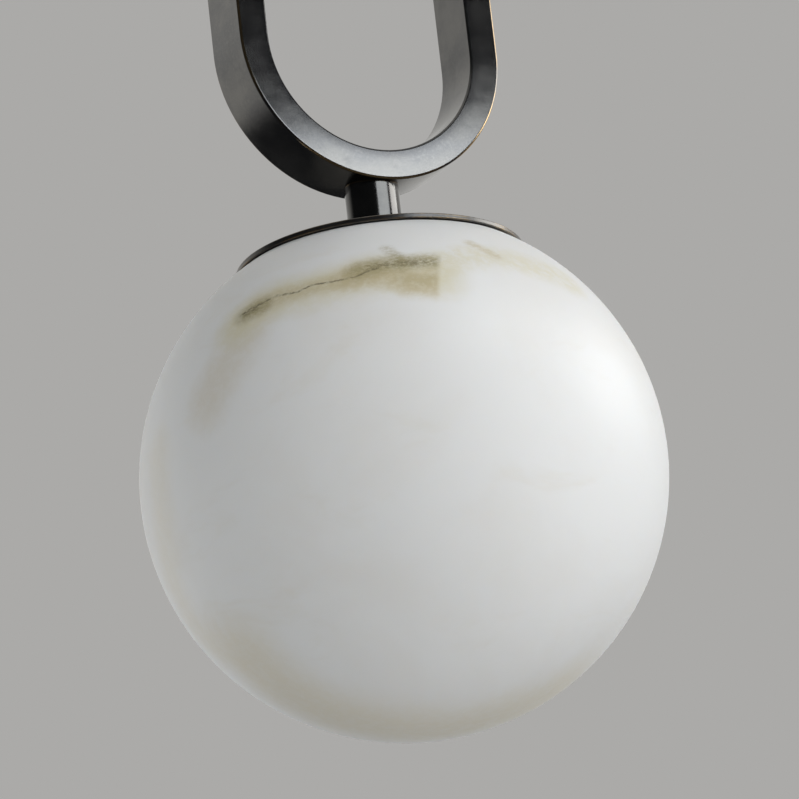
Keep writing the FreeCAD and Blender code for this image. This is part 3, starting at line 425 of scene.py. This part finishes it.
def link_depth(n, place):
    """How far a point of the link is from its window's middle line."""
    low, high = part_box("oval_link")
    outer = (high.x - low.x) / 2
    straight = (high.z - low.z) / 2 - outer
    parts = n.add("ShaderNodeSeparateXYZ", {"Vector": place}).outputs
    height = n.maths("ABSOLUTE", n.maths("SUBTRACT", parts["Z"], (low.z + high.z) / 2))
    past = n.maths("MAXIMUM", n.maths("SUBTRACT", height, straight), 0.0)
    square = n.maths("MULTIPLY_ADD", past, past, n.maths("MULTIPLY", parts["X"], parts["X"]))
    return n.maths("SQRT", square), outer


def link_edges(n, place, noise):
    """The link's rounded outer edges, and painted shade on the side of the bar towards the window.
    """
    depth, outer = link_depth(n, place)
    normal = n.add("ShaderNodeTexCoord").outputs["Normal"]
    sideways = n.add("ShaderNodeSeparateXYZ", {"Vector": normal}).outputs["Y"]
    flat = n.maths("MULTIPLY", sideways, sideways)
    rounded = n.maths("MULTIPLY", flat, n.maths("SUBTRACT", 1.0, flat))
    at_rim = n.fade(depth, outer - RIM_START, outer - RIM_END)
    worn = n.maths("MULTIPLY", n.fade(rounded, 0.02, 0.14), at_rim)
    worn = n.maths("MULTIPLY", worn, n.fade(noise, 0.34, 0.56))
    # Painted shade: the faces of the bar towards the window are marked here to be darkened as if
    # shaded
    shade_near_window = n.fade(depth, outer - SHADE_START, outer - SHADE_END)
    return worn, n.maths("MULTIPLY", shade_near_window, n.fade(flat, 0.0, 1.0, 0.45, 1.0))


def dark_bronze(name, rough, brush=(1, 1, 1), tone=1.0, link=False):
    """Satin blackened bronze, brushed faintly along the piece and rubbed brown at its edges; on the
    link, painted shade darkens the bar towards the window.
    """
    material, n = new_material(name)
    place = n.place()
    lines = n.noise(n.stretch(place, brush), 900.0, 3.0, 0.6)
    mottle = n.noise(n.stretch(place, (1.0, 1.0, 1.5)), 30.0, 5.0, 0.62)
    streak = n.noise(n.stretch(place, (0.5, 1.0, 0.5)), 160.0, 3.0, 0.6)
    colour = n.mix(n.fade(mottle, 0.36, 0.66), (0.150, 0.149, 0.148), (0.230, 0.224, 0.212))
    colour = n.mix(n.fade(streak, 0.50, 0.72, 0.0, 0.25), colour, (0.085, 0.085, 0.086))
    colour = n.mix(n.fade(lines, 0.45, 0.75, 0.0, 0.30), colour, (0.26, 0.25, 0.235))
    if link:
        worn, window_shade = link_edges(n, place, n.noise(place, 45.0, 4.0, 0.6))
        # Painted shade: the bar's faces towards the window are mixed towards near-black
        colour = n.mix(n.maths("MULTIPLY", window_shade, 0.65), colour, (0.055, 0.055, 0.057))
    else:
        worn = edge_wear(n, 0.9 * MM, n.noise(place, 60.0, 4.0, 0.6))
    colour = n.mix(1.0, colour, (tone, tone, tone), "MULTIPLY")
    colour = n.mix(n.maths("MULTIPLY", worn, 0.8), colour, RUBBED_BROWN)
    roughness = n.fade(mottle, 0.3, 0.7, rough - 0.04, rough + 0.06)
    finish_material(
        n, Base_Color=colour, Metallic=1.0, Roughness=roughness,
        Normal=n.bump(lines, 0.05, 0.00004),
    )
    return material


def bright_metal(name, dull, bright, rough):
    """A plated or turned metal with fine tool lines and a few darker spots."""
    material, n = new_material(name)
    place = n.place()
    lines = n.noise(place, 1400.0, 3.0, 0.6)
    spots = n.noise(place, 90.0, 5.0, 0.65)
    colour = n.mix(n.fade(spots, 0.36, 0.66), dull, bright)
    roughness = n.fade(lines, 0.3, 0.7, rough - 0.06, rough + 0.08)
    finish_material(
        n, Base_Color=colour, Metallic=1.0, Roughness=roughness,
        Normal=n.bump(lines, 0.15, 0.00005),
    )
    return material


def moulded(name, first, second, rough):
    """A moulded, pressed or fired piece: uneven tone and a fine grain."""
    material, n = new_material(name)
    place = n.place()
    tone = n.noise(place, 40.0, 4.0, 0.6)
    fine = n.noise(place, 1500.0, 2.0, 0.5)
    finish_material(
        n, Base_Color=n.mix(n.fade(tone, 0.35, 0.68), first, second),
        Roughness=n.fade(fine, 0.3, 0.7, rough - 0.05, rough + 0.06),
        Normal=n.bump(fine, 0.12, 0.00008),
    )
    return material


UPRIGHT = (1, 1, 0.04)
MATERIALS = {
    "alabaster": alabaster(),
    "dark_bronze": dark_bronze("dark_bronze", 0.30),
    "zinc_steel": bright_metal("zinc_steel", (0.44, 0.44, 0.45), (0.60, 0.60, 0.60), 0.36),
    "brass": bright_metal("brass", (0.62, 0.44, 0.19), (0.80, 0.61, 0.30), 0.28),
    "nylon": moulded("nylon", (0.84, 0.83, 0.77), (0.90, 0.89, 0.84), 0.48),
    "black_rubber": moulded("black_rubber", (0.018, 0.018, 0.018), (0.035, 0.034, 0.033), 0.75),
    "bakelite": moulded("bakelite", (0.018, 0.015, 0.013), (0.034, 0.028, 0.024), 0.26),
    "porcelain": moulded("porcelain", (0.82, 0.80, 0.76), (0.89, 0.88, 0.85), 0.55),
    "plated_cap": bright_metal("plated_cap", (0.66, 0.65, 0.62), (0.82, 0.81, 0.78), 0.22),
    "white_plastic": moulded("white_plastic", (0.86, 0.86, 0.85), (0.91, 0.91, 0.90), 0.30),
    "milky_dome": moulded("milky_dome", (0.88, 0.88, 0.86), (0.93, 0.93, 0.92), 0.42),
}
TURNED_BRONZE = dark_bronze("dark_bronze_turned", 0.12, UPRIGHT, tone=0.5)
SPECIAL = {
    "oval_link": dark_bronze("dark_bronze_link", 0.18, link=True),
    "cap_plate": dark_bronze("dark_bronze_plate", 0.30, tone=0.6),
    "lower_neck": TURNED_BRONZE,
    "upper_neck": TURNED_BRONZE,
    "down_rod": dark_bronze("dark_bronze_rod", 0.26, UPRIGHT),
}
for part in frame["record"]["subparts"]:
    name = part["node"]
    skin = SPECIAL.get(name) or MATERIALS[part["material_slot"]]
    for index in range(len(nodes[name].data.materials)):
        nodes[name].data.materials[index] = skin


# The stone as one unbroken piece

MOUTH_RADIUS = 46 * MM
REBATE_RADIUS = 50 * MM
REBATE_DEPTH = 1 * MM
WALL = 10 * MM
EDGE_ROUND = 0.5 * MM
ROUND_STEPS = 224
PROFILE_STEPS = 112
CAVITY_STEPS = 64
EDGE_STEPS = 4
ON_AXIS = 1e-7
SHARP_ANGLE = 35


def arc_points(radius, start, end, steps):
    """Points of an arc about the globe's centre, from angle start to end, up from level."""
    turns = [start + (end - start) * index / steps for index in range(steps + 1)]
    return [(radius * math.cos(turn), radius * math.sin(turn)) for turn in turns]


def lathe(name, outline, centre, steps):
    """Turns an outline of (radius, height) points round the upright axis through a centre."""
    shape = bmesh.new()
    rings = []
    for radius, height in outline:
        if radius < ON_AXIS:
            rings.append([shape.verts.new(centre + Vector((0, 0, height)))])
            continue
        ring = []
        for step in range(steps):
            turn = 2 * math.pi * step / steps
            spot = Vector((radius * math.cos(turn), radius * math.sin(turn), height))
            ring.append(shape.verts.new(centre + spot))
        rings.append(ring)
    for one, two in zip(rings, rings[1:]):
        for step in range(steps):
            following = (step + 1) % steps
            if len(one) == 1:
                corners = [one[0], two[following], two[step]]
            elif len(two) == 1:
                corners = [one[step], one[following], two[0]]
            else:
                corners = [one[step], one[following], two[following], two[step]]
            shape.faces.new(corners)
    bmesh.ops.recalc_face_normals(shape, faces=shape.faces)
    mesh = bpy.data.meshes.new(name)
    shape.to_mesh(mesh)
    shape.free()
    piece = bpy.data.objects.new(name, mesh)
    bpy.context.scene.collection.objects.link(piece)
    return piece


def smooth_by_angle(piece):
    """Smooth shading, with edges sharper than SHARP_ANGLE kept sharp."""
    mesh = piece.data
    mesh.polygons.foreach_set("use_smooth", [True] * len(mesh.polygons))
    shape = bmesh.new()
    shape.from_mesh(mesh)
    for edge in shape.edges:
        if len(edge.link_faces) == 2:
            edge.smooth = edge.calc_face_angle() < math.radians(SHARP_ANGLE)
    shape.to_mesh(mesh)
    shape.free()


def build_stone():
    """The hollow globe in one piece: flat top with a rounded edge, rebate, mouth and cavity."""
    flat = GLOBE_FLAT - GLOBE_CENTRE.z
    cavity = GLOBE_RADIUS - WALL
    round_centre = math.sqrt((GLOBE_RADIUS - EDGE_ROUND) ** 2 - (flat - EDGE_ROUND) ** 2)
    edge_turn = math.atan2(flat - EDGE_ROUND, round_centre)
    outline = arc_points(GLOBE_RADIUS, -math.pi / 2, edge_turn, PROFILE_STEPS)
    outline[0] = (0, -GLOBE_RADIUS)
    for step in range(1, EDGE_STEPS + 1):
        turn = edge_turn + (math.pi / 2 - edge_turn) * step / EDGE_STEPS
        outline.append((round_centre + EDGE_ROUND * math.cos(turn),
                        flat - EDGE_ROUND + EDGE_ROUND * math.sin(turn)))
    bore_foot = math.sqrt(cavity ** 2 - MOUTH_RADIUS ** 2)
    outline += [(REBATE_RADIUS, flat), (REBATE_RADIUS, flat - REBATE_DEPTH),
                (MOUTH_RADIUS, flat - REBATE_DEPTH)]
    outline += arc_points(cavity, math.atan2(bore_foot, MOUTH_RADIUS), -math.pi / 2,
                          CAVITY_STEPS)
    outline[-1] = (0, -cavity)
    stone = lathe("stone_globe", outline, GLOBE_CENTRE, ROUND_STEPS)
    smooth_by_angle(stone)
    stone.data.materials.append(MATERIALS["alabaster"])
    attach(stone, "globe")
    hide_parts("globe_lower_half", "globe_upper_half")


build_stone()

bpy.context.scene.view_settings.view_transform = "Standard"
